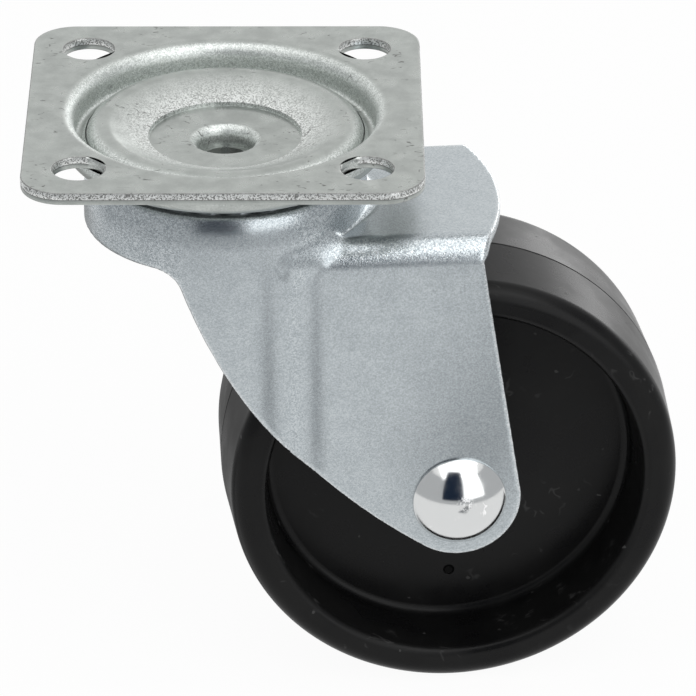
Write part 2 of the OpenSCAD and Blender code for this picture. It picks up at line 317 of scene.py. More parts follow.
def net_surface(field: np.ndarray, low: np.ndarray, cell: float) -> tuple[np.ndarray, np.ndarray]:
    """Wraps the zero surface of a field in a net of quads.

    Args:
        field: Distance at each point of an even grid.
        low: The grid's first point.
        cell: Distance between neighbouring grid points.

    Returns:
        The net's points, and the four points of each quad in turn.
    """
    solid = field < 0.0
    corners = [(i, j, k) for i in (0, 1) for j in (0, 1) for k in (0, 1)]
    size = np.array(field.shape) - 1
    count = sum(solid[i:i + size[0], j:j + size[1], k:k + size[2]].astype(np.int8)
                for i, j, k in corners)
    cells = np.argwhere((count > 0) & (count < len(corners)))
    number = np.full(tuple(size), -1, dtype=np.int64)
    number[tuple(cells.T)] = np.arange(len(cells))
    total, hits = np.zeros((len(cells), 3)), np.zeros(len(cells))
    for start in corners:
        for axis in range(3):
            if start[axis]:
                continue
            a = cells + start
            b = a.copy()
            b[:, axis] += 1
            fa, fb = field[tuple(a.T)], field[tuple(b.T)]
            crossed = (fa < 0.0) != (fb < 0.0)
            share = np.where(crossed, fa / np.where(crossed, fa - fb, 1.0), 0.0)
            place = a.astype(float)
            place[:, axis] += share
            total += place * crossed[:, None]
            hits += crossed
    points = low + cell * total / hits[:, None]
    quads = []
    for axis in range(3):
        one, two = (axis + 1) % 3, (axis + 2) % 3
        ahead = np.roll(solid, -1, axis)
        crossed = solid != ahead
        crossed[tuple(-1 if d == axis else slice(None) for d in range(3))] = False
        edges = np.argwhere(crossed)
        edges = edges[(edges[:, one] > 0) & (edges[:, two] > 0) & (edges[:, one] < size[one])
                      & (edges[:, two] < size[two])]
        ring = []
        for da, db in ((1, 1), (0, 1), (0, 0), (1, 0)):
            beside_edge = edges.copy()
            beside_edge[:, one] -= da
            beside_edge[:, two] -= db
            ring.append(number[tuple(beside_edge.T)])
        quad = np.stack(ring, axis=1)
        outward = solid[tuple(edges.T)]
        quads.append(np.where(outward[:, None], quad, quad[:, ::-1]))
    return points, np.concatenate(quads)


# Shader graphs


class Graph:
    """Adds nodes to one node tree and links them as they are made."""

    def __init__(self, tree: bpy.types.NodeTree) -> None:
        """Keeps the tree."""
        self.tree = tree

    def feed(self, made: bpy.types.Node, key: Union[str, int], value: SocketValue) -> None:
        """Links an output to a node's input, or sets a plain value there."""
        if isinstance(value, bpy.types.NodeSocket):
            self.tree.links.new(value, made.inputs[key])
        else:
            made.inputs[key].default_value = value

    def node(self, kind: str, inputs: Optional[dict[Any, SocketValue]] = None,
             **settings: Any) -> bpy.types.Node:
        """Adds a node.

        Args:
            kind: Blender's name for the node type.
            inputs: Value or output socket for each input, by name or number.
            **settings: Properties of the node.

        Returns:
            The new node.
        """
        made = self.tree.nodes.new(kind)
        for key, value in settings.items():
            setattr(made, key, value)
        for key, value in (inputs or {}).items():
            self.feed(made, key, value)
        return made

    def math(self, operation: str, *values: SocketValue, clamp: bool = False) -> bpy.types.NodeSocket:
        """Adds a math node and returns its value."""
        inputs = dict(enumerate(values))
        return self.node("ShaderNodeMath", inputs, operation=operation, use_clamp=clamp).outputs[0]

    def read(self, kind: Mark) -> bpy.types.NodeSocket:
        """Reads a value that the mesh carries at its points."""
        return self.node("ShaderNodeAttribute", attribute_name=kind.value).outputs["Fac"]

    def noise(self, vector: bpy.types.NodeSocket, scale: SocketValue,
              detail: float = 3.0) -> bpy.types.NodeSocket:
        """Adds a noise texture and returns its value."""
        inputs = {"Vector": vector, "Scale": scale, "Detail": detail}
        return self.node("ShaderNodeTexNoise", inputs).outputs["Fac"]

    def ramp(self, value: bpy.types.NodeSocket, low: SocketValue, high: SocketValue,
             to_low: float = 0.0, to_high: float = 1.0) -> bpy.types.NodeSocket:
        """Maps a value smoothly from one range to another and returns it."""
        inputs = {"Value": value, "From Min": low, "From Max": high, "To Min": to_low, "To Max": to_high}
        made = self.node("ShaderNodeMapRange", inputs, interpolation_type="SMOOTHSTEP")
        return made.outputs["Result"]

    def mix(self, factor: SocketValue, a: SocketValue, b: SocketValue,
            blend: str = "MIX") -> bpy.types.NodeSocket:
        """Mixes two colours and returns the result."""
        made = self.node("ShaderNodeMix", {0: factor}, data_type="RGBA", blend_type=blend)
        for number, value in ((6, a), (7, b)):
            self.feed(made, number, (*value, 1.0) if isinstance(value, tuple) else value)
        return made.outputs[2]

    def group(self, effect: Effect, inputs: dict[Any, SocketValue]) -> bpy.types.Node:
        """Places a shared effect in this tree and returns its node."""
        return self.node("ShaderNodeGroup", inputs, node_tree=EFFECTS.tree(effect))

    def surface(self, shader: bpy.types.Node, colour: SocketValue, rough: SocketValue,
                height: SocketValue, depth: float) -> None:
        """Feeds what changes over a surface to its shader.

        Args:
            shader: The material's Principled BSDF.
            colour: Its colour.
            rough: Its roughness.
            height: Height of its fine relief.
            depth: Depth of the relief where its height is 1.
        """
        bump = self.node("ShaderNodeBump", {"Strength": 1.0, "Distance": depth, "Height": height})
        for key, value in (("Base Color", colour), ("Roughness", rough), ("Normal", bump.outputs[0])):
            self.feed(shader, key, value)


class EffectLibrary:
    """Builds each shared effect once and hands out its node group."""

    def __init__(self) -> None:
        """Starts with no groups."""
        self._trees: dict[Effect, bpy.types.NodeTree] = {}

    def tree(self, effect: Effect) -> bpy.types.NodeTree:
        """Gives an effect's node group, built on first use."""
        if effect not in self._trees:
            builders = {
                Effect.GRAIN: self._grain,
                Effect.SCRATCHES: self._scratches,
                Effect.SPOT: self._spot,
            }
            self._trees[effect] = builders[effect]()
        return self._trees[effect]

    def _start(self, effect: Effect, inputs: dict[str, tuple[str, Any]],
               outputs: dict[str, str]) -> tuple[Graph, bpy.types.Node, bpy.types.Node]:
        """Starts a group with its sockets.

        Args:
            effect: The effect, which names the group.
            inputs: Socket type and default value by name.
            outputs: Socket type by name.

        Returns:
            The group's graph, its input node and its output node.
        """
        tree = bpy.data.node_groups.new(effect.value, "ShaderNodeTree")
        for name, (kind, value) in inputs.items():
            socket = tree.interface.new_socket(name, in_out="INPUT", socket_type=kind)
            if value is not None:
                socket.default_value = value
        for name, kind in outputs.items():
            tree.interface.new_socket(name, in_out="OUTPUT", socket_type=kind)
        graph = Graph(tree)
        return graph, graph.node("NodeGroupInput"), graph.node("NodeGroupOutput")

    def _grain(self) -> bpy.types.NodeTree:
        """Fine grain, soft mottling and glinting facets of plated sheet, or the skin of a moulding."""
        graph, enter, leave = self._start(
            Effect.GRAIN,
            {"Vector": ("NodeSocketVector", None), "Grain Scale": ("NodeSocketFloat", 5200.0),
             "Mottle Scale": ("NodeSocketFloat", 240.0), "Facet Scale": ("NodeSocketFloat", 6500.0)},
            {"Height": "NodeSocketFloat", "Mottle": "NodeSocketFloat", "Facets": "NodeSocketFloat"},
        )
        fine = graph.noise(enter.outputs["Vector"], enter.outputs["Grain Scale"], 2.0)
        soft = graph.noise(enter.outputs["Vector"], enter.outputs["Mottle Scale"], 5.0)
        cells = graph.node("ShaderNodeTexVoronoi", {"Vector": enter.outputs["Vector"],
                                                    "Scale": enter.outputs["Facet Scale"]})
        shade = graph.node("ShaderNodeSeparateColor", {0: cells.outputs["Color"]}).outputs[0]
        mottle = graph.ramp(soft, 0.3, 0.7)
        for name, value in (("Height", fine), ("Mottle", mottle), ("Facets", shade)):
            graph.feed(leave, name, value)
        return graph.tree

    def _scratches(self) -> bpy.types.NodeTree:
        """Thin short lines in scattered patches."""
        graph, enter, leave = self._start(
            Effect.SCRATCHES,
            {"Vector": ("NodeSocketVector", None), "Stretch": ("NodeSocketVector", (900.0, 900.0, 60.0)),
             "Width": ("NodeSocketFloat", 0.012), "Cut Scale": ("NodeSocketFloat", 900.0),
             "Patch Scale": ("NodeSocketFloat", 160.0), "Patch Start": ("NodeSocketFloat", 0.52)},
            {"Mask": "NodeSocketFloat"},
        )
        place, start = enter.outputs["Vector"], enter.outputs["Patch Start"]
        stretched = graph.node("ShaderNodeVectorMath", {0: place, 1: enter.outputs["Stretch"]},
                               operation="MULTIPLY").outputs[0]
        line = graph.math("ABSOLUTE", graph.math("SUBTRACT", graph.noise(stretched, 1.0, 2.0), 0.5))
        thin = graph.ramp(line, 0.0, enter.outputs["Width"], 1.0, 0.0)
        pieces = graph.ramp(graph.noise(place, enter.outputs["Cut Scale"], 1.0), 0.54, 0.6)
        patch = graph.ramp(graph.noise(place, enter.outputs["Patch Scale"], 2.0),
                           start, graph.math("ADD", start, 0.12))
        mask = graph.math("MULTIPLY", graph.math("MULTIPLY", thin, pieces), patch)
        graph.feed(leave, "Mask", mask)
        return graph.tree

    def _spot(self) -> bpy.types.NodeTree:
        """A soft round spot about a point."""
        graph, enter, leave = self._start(
            Effect.SPOT,
            {"Vector": ("NodeSocketVector", None), "Middle": ("NodeSocketVector", (0.0, 0.0, 0.0)),
             "Radius": ("NodeSocketFloat", 0.001), "Softness": ("NodeSocketFloat", 0.0002)},
            {"Mask": "NodeSocketFloat"},
        )
        ends = {0: enter.outputs["Vector"], 1: enter.outputs["Middle"]}
        away = graph.node("ShaderNodeVectorMath", ends, operation="DISTANCE").outputs["Value"]
        rim = graph.math("ADD", enter.outputs["Radius"], enter.outputs["Softness"])
        graph.feed(leave, "Mask", graph.ramp(away, enter.outputs["Radius"], rim, 1.0, 0.0))
        return graph.tree


EFFECTS = EffectLibrary()


def start_material(name: str) -> tuple[bpy.types.Material, Graph, bpy.types.Node,
                                       bpy.types.NodeSocket]:
    """Starts a material.

    Args:
        name: Name of the material.

    Returns:
        The material, its graph, its Principled BSDF and the surface's own coordinates.
    """
    material = bpy.data.materials.new(name)
    material.use_nodes = True
    graph = Graph(material.node_tree)
    shader = material.node_tree.nodes["Principled BSDF"]
    place = graph.node("ShaderNodeTexCoord").outputs["Object"]
    return material, graph, shader, place


# Finishes


@dataclass(frozen=True)
class ZincFinish:
    """Zinc-plated pressed steel."""

    name: str
    colour: Colour
    dull_colour: Colour
    dirt_and_shade_colour: Colour
    wear_and_highlight_colour: Colour
    pressed_sheen_colour: Colour
    roughness: Point
    pressed_roughness: float
    grain: Point
    glint: Point
    scuffs: float
    scuff_stretch: Point3
    chips: float
    metallic: float = 0.88

    def material(self) -> bpy.types.Material:
        """Builds the plated steel.

        Returns:
            A metal with mottling, short scuffs and fine grain, coarser and glinting where pressed; its
            lighter bends are partly a painted sheen, its lighter edges partly a painted highlight, and
            its dark lines are painted shade.
        """
        material, graph, shader, place = start_material(self.name)
        pressed, wear_and_highlight, painted_shade = (graph.read(kind) for kind in (Mark.PRESSED, Mark.WEAR_AND_HIGHLIGHT, Mark.PAINTED_SHADE))
        grain = graph.group(Effect.GRAIN, {
            "Vector": place, "Grain Scale": 7600.0, "Mottle Scale": 400.0, "Facet Scale": 8200.0})
        lines = graph.group(Effect.SCRATCHES, {
            "Vector": place, "Stretch": self.scuff_stretch, "Width": 0.02,
            "Cut Scale": 1100.0, "Patch Scale": 130.0, "Patch Start": 0.46})
        plated = graph.mix(grain.outputs["Mottle"], self.dull_colour, self.colour)
        # Bends take a lighter colour: frosted pressed zinc, and partly a painted sheen.
        sheened_on_bends = graph.mix(pressed, plated, self.pressed_sheen_colour)
        # Lighter edges: real rubbed and burnished plating, and partly a painted edge highlight.
        rubbed_and_highlighted = graph.mix(wear_and_highlight, sheened_on_bends, self.wear_and_highlight_colour)
        facets = graph.math("MULTIPLY", graph.math("SUBTRACT", grain.outputs["Facets"], 0.5),
                            graph.ramp(graph.math("MAXIMUM", pressed, wear_and_highlight), 0.0, 1.0, *self.glint))
        grey = graph.node("ShaderNodeCombineColor", {0: facets, 1: facets, 2: facets}).outputs[0]
        glinting = graph.mix(1.0, rubbed_and_highlighted, grey, "ADD")
        scuffs = graph.math("MULTIPLY", lines.outputs["Mask"], self.scuffs)
        bare = graph.ramp(grain.outputs["Facets"], 0.2, 0.42, self.chips, 0.0)
        chips = graph.math("MULTIPLY", bare, wear_and_highlight)
        # Dark lines of painted shade, mixed below with the real scuffs and chips into one dark colour.
        painted_shade_strength = graph.math("MULTIPLY", painted_shade, 0.9)
        dirt_and_shade = graph.math("MAXIMUM", graph.math("MAXIMUM", scuffs, chips), painted_shade_strength)
        dirty_and_shaded = graph.mix(dirt_and_shade, glinting, self.dirt_and_shade_colour)
        rough = graph.ramp(grain.outputs["Mottle"], 0.0, 1.0, self.roughness[1], self.roughness[0])
        duller = graph.math("ADD", rough, graph.math("MULTIPLY", pressed, self.pressed_roughness))
        rougher = graph.math("ADD", duller, graph.math("MULTIPLY", dirt_and_shade, 0.15), clamp=True)
        depth = graph.ramp(pressed, 0.0, 1.0, *self.grain)
        height = graph.math("SUBTRACT", graph.math("MULTIPLY", grain.outputs["Height"], depth), scuffs)
        graph.surface(shader, dirty_and_shaded, rougher, height, 0.006 * MM)
        shader.inputs["Metallic"].default_value = self.metallic
        return material


@dataclass(frozen=True)
class PolishedFinish:
    """Bright turned or rolled steel, with fine rub marks."""

    name: str
    colour: Colour
    rub_colour: Colour
    roughness: Point
    mark: Optional[Point3] = None

    def material(self) -> bpy.types.Material:
        """Builds the polished steel.

        Returns:
            A bright metal with rub lines, and a rough punched mark where one is set.
        """
        material, graph, shader, place = start_material(self.name)
        grain = graph.group(Effect.GRAIN, {"Vector": place, "Mottle Scale": 500.0})
        lines = graph.group(Effect.SCRATCHES, {
            "Vector": place, "Stretch": (900.0, 260.0, 420.0), "Width": 0.03,
            "Cut Scale": 260.0, "Patch Scale": 300.0, "Patch Start": 0.5})
        colour = graph.mix(lines.outputs["Mask"], self.colour, self.rub_colour)
        rough = graph.ramp(grain.outputs["Mottle"], 0.0, 1.0, *self.roughness)
        relief = graph.math("MULTIPLY", grain.outputs["Height"], 0.1)
        height = graph.math("SUBTRACT", relief, lines.outputs["Mask"])
        if self.mark:
            spot = graph.group(Effect.SPOT, {
                "Vector": place, "Middle": self.mark, "Radius": 0.3 * MM, "Softness": 0.8 * MM})
            grit = graph.ramp(graph.noise(place, 4200.0, 1.0), 0.5, 0.58)
            crumbs = graph.math("MULTIPLY", spot.outputs["Mask"], grit)
            colour = graph.mix(crumbs, colour, self.rub_colour)
            height = graph.math("ADD", height, crumbs)
            rough = graph.math("ADD", rough, graph.math("MULTIPLY", crumbs, 0.4), clamp=True)
        graph.surface(shader, colour, rough, height, 0.005 * MM)
        shader.inputs["Metallic"].default_value = 1.0
        return material


@dataclass(frozen=True)
class MouldedFinish:
    """Black moulded plastic."""

    name: str
    colour: Colour
    haze_colour: Colour
    scuff_colour: Colour
    recess_shade_colour: Colour
    roughness: Point
    gloss: float
    gate: Point3

    def material(self) -> bpy.types.Material:
        """Builds the moulded plastic.

        Returns:
            A dark semi-gloss plastic with a fine skin, light scuffs and a small gate pit, with painted
            shade darkening the pit and the parting groove.
        """
        material, graph, shader, place = start_material(self.name)
        grain = graph.group(Effect.GRAIN, {
            "Vector": place, "Grain Scale": 3000.0, "Mottle Scale": 160.0, "Facet Scale": 3200.0})
        lines = graph.group(Effect.SCRATCHES, {
            "Vector": place, "Stretch": (300.0, 1100.0, 300.0), "Width": 0.03, "Cut Scale": 500.0})
        pit = graph.group(Effect.SPOT, {
            "Vector": place, "Middle": self.gate, "Radius": 0.4 * MM, "Softness": 0.25 * MM})
        painted_shade = graph.read(Mark.PAINTED_SHADE)
        dust = graph.ramp(grain.outputs["Facets"], 0.9975, 1.0)
        scuffs = graph.math("MAXIMUM", graph.math("MULTIPLY", dust, 0.5),
                            graph.math("MULTIPLY", lines.outputs["Mask"], 0.25))
        hazy = graph.mix(grain.outputs["Mottle"], self.colour, self.haze_colour)
        scuffed = graph.mix(scuffs, hazy, self.scuff_colour)
        # Painted shade: the gate pit and the parting groove are darkened as shade in a recess.
        dark = graph.math("MAXIMUM", pit.outputs["Mask"], painted_shade)
        colour = graph.mix(dark, scuffed, self.recess_shade_colour)
        rough = graph.ramp(grain.outputs["Mottle"], 0.0, 1.0, *self.roughness)
        marred = graph.math("MULTIPLY", graph.math("MAXIMUM", dark, scuffs), 0.4)
        rougher = graph.math("ADD", rough, marred, clamp=True)
        height = graph.math("SUBTRACT", graph.math("MULTIPLY", grain.outputs["Height"], 0.35),
                            graph.math("MULTIPLY", pit.outputs["Mask"], 40.0))
        graph.surface(shader, colour, rougher, height, 0.008 * MM)
        shader.inputs["Specular IOR Level"].default_value = self.gloss
        return material


# Sub-assemblies


@dataclass
class Layout:
    """Heights and places that the sub-assemblies share."""

    swivel_turn: float = math.radians(5.5)
    trail: float = 24 * MM
    axle_z: float = -41.902 * MM
    leg_y: float = 13.06 * MM

    def axle_place(self) -> Matrix:
        """Gives the place of a shape drawn about Z, laid along the axle, its top to the near leg."""
        turn = Matrix.Rotation(self.swivel_turn, 4, "Z")
        lay = Matrix.Rotation(math.pi / 2, 4, "X")
        return turn @ Matrix.Translation((self.trail, 0, self.axle_z)) @ lay

    def on_axle(self, x: float, y: float, z: float) -> Point3:
        """Gives the frame's coordinates of a point in the axle's own axes."""
        return tuple(self.axle_place() @ Vector((x, y, z)))


@dataclass
class SubAssembly:
    """What each sub-assembly does with a piece that it has."""

    def dress(self, piece: bpy.types.Object, material: bpy.types.Material) -> None:
        """Gives a piece its finish and reports it."""
        wear(piece, material)
        log.info("%s wears %s, %d faces", piece.name, material.name, len(piece.data.polygons))


@dataclass
class MountingPlate(SubAssembly):
    """Square pressed plate with a dished middle and four screw holes."""

    side: float = 42 * MM
    sheet: float = 1.4 * MM
    corner_r: float = 4.5 * MM
    hole_pitch: float = 30 * MM
    hole_r: float = 2.75 * MM
    edge_r: float = 0.18 * MM
    edge_bevel: float = 0.29
    burr_bevel: float = 0.4
    shear_line: float = -0.82 * MM
    shear_half_h: float = 0.07 * MM
    shear_dip: float = 0.03 * MM
    torn_inset: float = 0.02 * MM
    lip_bend: float = 0.9 * MM
    border_gap: float = 1 * MM
    groove_w: float = 1.2 * MM
    groove_depth: float = 3.4 * MM
    groove_flat: float = 0.04 * MM
    crest_depth: float = 1.5 * MM
    crest_bend: float = 1.3 * MM
    dish_wall_in: float = 13.5 * MM
    dish_slope: float = math.radians(22)
    dish_bend: float = 4 * MM
    coin_r: float = 8.2 * MM
    coin_depth: float = 3.7 * MM
    coin_step: float = 0.3 * MM
    collar_r: float = 3.7 * MM
    collar_depth: float = 5.9 * MM
    collar_bend: float = 0.75 * MM
    turns: int = 192
    hole_turns: int = 64

    def flat_r(self) -> float:
        """Gives the radius where the flat border begins."""
        return self.dish_wall_in + 1.5 * self.sheet + self.groove_w + self.lip_bend + self.border_gap

    def profile(self) -> list[Point]:
        """Gives the closed section of the pressed middle, from the border in and back."""
        half = self.sheet / 2
        lip = self.dish_wall_in + 3 * half + self.groove_w
        dish = self.dish_wall_in + half
        coin_z = -self.coin_depth + self.coin_step / 2 - half
        crest_z = -self.crest_depth - half - self.crest_bend
        crest_z += self.crest_bend * math.tan((math.pi / 2 + self.dish_slope) / 2)
        floor_r = dish - (crest_z - coin_z) / math.tan(self.dish_slope)
        groove_z = -self.groove_depth - half
        groove_bend = (self.groove_w + self.sheet - self.groove_flat) / 2
        path = [(self.flat_r(), -half), (lip, -half), (lip, groove_z), (dish, groove_z),
                (dish, crest_z), (floor_r, coin_z), (self.collar_r, coin_z),
                (self.collar_r, -self.collar_depth)]
        bends = [0, self.lip_bend, groove_bend, groove_bend, self.crest_bend, self.dish_bend,
                 self.collar_bend, 0]
        top = beside(path, bends, -half)
        under = beside(path, bends, half)
        return self.coin(top) + list(reversed(under))

    def coin(self, top: Sequence[Point]) -> list[Point]:
        """Sinks the coined flat into the upper face and gives the face's new points."""
        flat = -self.coin_depth
        coined: list[Point] = []
        for (r0, z0), (r1, z1) in zip(top, [*top[1:], top[-1]]):
            coined.append((r0, min(z0, flat) if r0 < self.coin_r else z0))
            if r0 >= self.coin_r > r1:
                edge_z = z0 + (z1 - z0) * (r0 - self.coin_r) / (r0 - r1)
                coined += [(self.coin_r, edge_z), (self.coin_r, flat)]
        return coined

    def border(self, bm: bmesh.types.BMesh) -> None:
        """Adds the flat border with its rounded sheared edges and screw holes."""
        r, t = self.edge_r, self.sheet
        at = self.hole_pitch / 2
        line, half_h, torn = self.shear_line, self.shear_half_h, self.torn_inset
        bevel = r * self.edge_bevel
        steps = [(r, 0.0), (bevel, -bevel), (0.0, -r), (0.0, line + half_h), (self.shear_dip, line),
                 (torn, line - half_h), (torn, r - t), (r * self.burr_bevel, bevel - t), (r, -t)]
        edges: dict[float, list[bmesh.types.BMEdge]] = {0.0: [], -t: []}
        outer = [loop(bm, rounded_square(self.side - 2 * i, self.corner_r - i), z) for i, z in steps]
        bridge(bm, outer)
        rings = [outer]
        for x in (-at, at):
            for y in (-at, at):
                hole = [loop(bm, circle(self.hole_r + i, self.hole_turns, (x, y)), z) for i, z in steps]
                bridge(bm, hole)
                rings.append(hole)
        middle = circle(self.flat_r(), self.turns)
        rings.append([loop(bm, middle, 0.0), loop(bm, middle, -t)])
        for ring in rings:
            for z, verts in ((0.0, ring[0]), (-t, ring[-1])):
                pairs = zip(verts, [*verts[1:], verts[0]])
                edges[z] += [bm.edges.get(p) or bm.edges.new(p) for p in pairs]
        for face_edges in edges.values():
            bmesh.ops.triangle_fill(bm, use_beauty=True, edges=face_edges)

    def build(self) -> bpy.types.Object:
        """Builds the plate in place of its CAD node and returns it."""
        bm = bmesh.new()
        spin(bm, self.profile(), self.turns, closed=False)
        self.border(bm)
        piece = finish_mesh("pressed_plate", bm, Matrix(), sharp=50.0)
        self.age(piece)
        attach(piece, Body.PLATE.value)
        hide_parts("top_plate")
        return piece

    def age(self, piece: bpy.types.Object) -> None:
        """Marks the pressed curves, the sheared edges, a painted highlight on the coin's edge and lines
        of painted shade along the sheared edges.
        """
        points, normals = points_and_normals(piece)
        z, r = points[:, 2], np.hypot(points[:, 0], points[:, 1])
        tilt = 1.0 - np.abs(normals[:, 2])
        near, close = 0.03 * MM, 0.01 * MM
        edge = (r > self.flat_r() + 0.1 * MM) & (tilt > 0.15)
        upper = z > self.shear_line + near
        at_line = np.abs(z - self.shear_line) < near
        at_top = np.abs(z + self.edge_bevel * self.edge_r) < close
        underside_share = np.where(normals[:, 2] < -0.1, 0.3, 1.0)
        # Bent faces get the pressed mark, which also lightens them as a painted sheen; undersides take
        # less of it.
        pressed = step_up(tilt, 0.01, 0.2) * underside_share
        coin_edge = (np.abs(r - self.coin_r) < 2 * close) & (z > -self.coin_depth + close)
        mark(piece, Mark.PRESSED, np.where(edge & ~upper, 0.1, pressed))
        # The upper band of the sheared edges is burnished; the coin's edge gets a painted highlight.
        mark(piece, Mark.WEAR_AND_HIGHLIGHT, np.where(edge & upper, 0.8, np.where(coin_edge, 0.5, 0.0)))
        # Painted shade: dark lines at the shear line's dip and at the top corner of the sheared edges.
        mark(piece, Mark.PAINTED_SHADE, np.where(edge & at_line, 1.0, np.where(edge & at_top, 0.9, 0.0)))


@dataclass
class Wheel(SubAssembly):
    """Moulded wheel with recessed sides and a hub."""

    layout: Layout
    radius: float = 24.8 * MM
    width: float = 20.4 * MM
    crown: float = 0.5 * MM
    edge_r: float = 2 * MM
    parting_w: float = 0.3 * MM
    rim_t: float = 3.7 * MM
    lip_r: float = 1 * MM
    draft: float = math.radians(4)
    disc_t: float = 5.2 * MM
    fillet: float = 1 * MM
    bore_r: float = 4 * MM
    hub_r: float = 6 * MM
    hub_half_w: float = 11.26 * MM
    gate_at: Point = (0.25 * MM, -14.7 * MM)
    turns: int = 224

    def half_section(self) -> list[Point]:
        """Gives half of the section, from the hub's bore out to the parting groove."""
        half, disc = self.width / 2, self.disc_t / 2
        edge = self.radius - self.crown
        rim_in = edge - self.rim_t
        path = [(self.bore_r, self.hub_half_w), (self.hub_r, self.hub_half_w), (self.hub_r, disc),
                (rim_in - (half - disc) * math.tan(self.draft), disc), (rim_in, half), (edge, half),
                (self.radius, self.parting_w / 2), (self.radius - self.parting_w / 2, 0)]
        bends = [0, self.fillet / 2, self.fillet, self.fillet, self.lip_r, self.edge_r, 0, 0]
        return beside(path, bends, 0.0)

    def build(self) -> bpy.types.Object:
        """Builds the wheel in place of its CAD node and returns it."""
        half = self.half_section()
        mirrored = [(r, -z) for r, z in reversed(half) if z > 0]
        bm = bmesh.new()
        spin(bm, half + mirrored, self.turns, closed=True)
        piece = finish_mesh("moulded_wheel", bm, self.layout.axle_place(), sharp=35.0)
        points, _ = points_and_normals(piece)
        back = self.layout.axle_place().inverted()
        own = points @ np.array(back.to_3x3()).T + np.array(back.translation)
        # Painted shade in the parting groove.
        mark(piece, Mark.PAINTED_SHADE, np.abs(own[:, 2]) < 0.4 * self.parting_w)
        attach(piece, Body.WHEEL.value)
        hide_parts("wheel")
        return piece

    def gate_point(self) -> Point3:
        """Gives the middle of the gate pit, on the disc below the axle."""
        return self.layout.on_axle(*self.gate_at, self.disc_t / 2)


@dataclass
class Axle(SubAssembly):
    """Rivet that holds the wheel: domed head on the near leg, upset head on the far one."""

    layout: Layout
    shank_r: float = 3 * MM
    head_r: float = 5 * MM
    head_h: float = 2.9 * MM
    flange_r: float = 5.1 * MM
    flange_h: float = 0.4 * MM
    upset_r: float = 4.5 * MM
    upset_h: float = 2 * MM
    mark_at: Point = (0.3 * MM, 1.0 * MM)
    turns: int = 128
    steps: int = 24

    def dome(self, r: float, h: float) -> list[Point]:
        """Gives a domed head's section, from its foot up to the axis."""
        ball = (r * r + h * h) / (2 * h)
        sweep = math.asin(r / ball)
        angles = [sweep * (1 - k / self.steps) for k in range(self.steps + 1)]
        return [(ball * math.sin(a), h - ball + ball * math.cos(a)) for a in angles]

    def build(self) -> bpy.types.Object:
        """Builds the rivet in place of its CAD node and returns it."""
        leg, rise = self.layout.leg_y, self.flange_h
        flange = [(self.flange_r, leg), (self.flange_r, leg + 0.6 * rise),
                  (self.flange_r - 0.04 * MM, leg + 0.85 * rise)]
        near = [*flange, *((r, leg + rise + z) for r, z in self.dome(self.head_r, self.head_h - rise))]
        far = [(r, -leg - z) for r, z in reversed(self.dome(self.upset_r, self.upset_h))]
        bm = bmesh.new()
        spin(bm, [*far, (self.shank_r, -leg), (self.shank_r, leg), *near], self.turns, closed=False)
        piece = finish_mesh("axle_rivet_polished", bm, self.layout.axle_place())
        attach(piece, Body.FORK.value)
        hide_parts("axle_rivet")
        return piece

    def crown_point(self) -> Point3:
        """Gives the place of the punched mark, just beside the middle of the domed head's top."""
        return self.layout.on_axle(*self.mark_at, self.layout.leg_y + self.head_h)


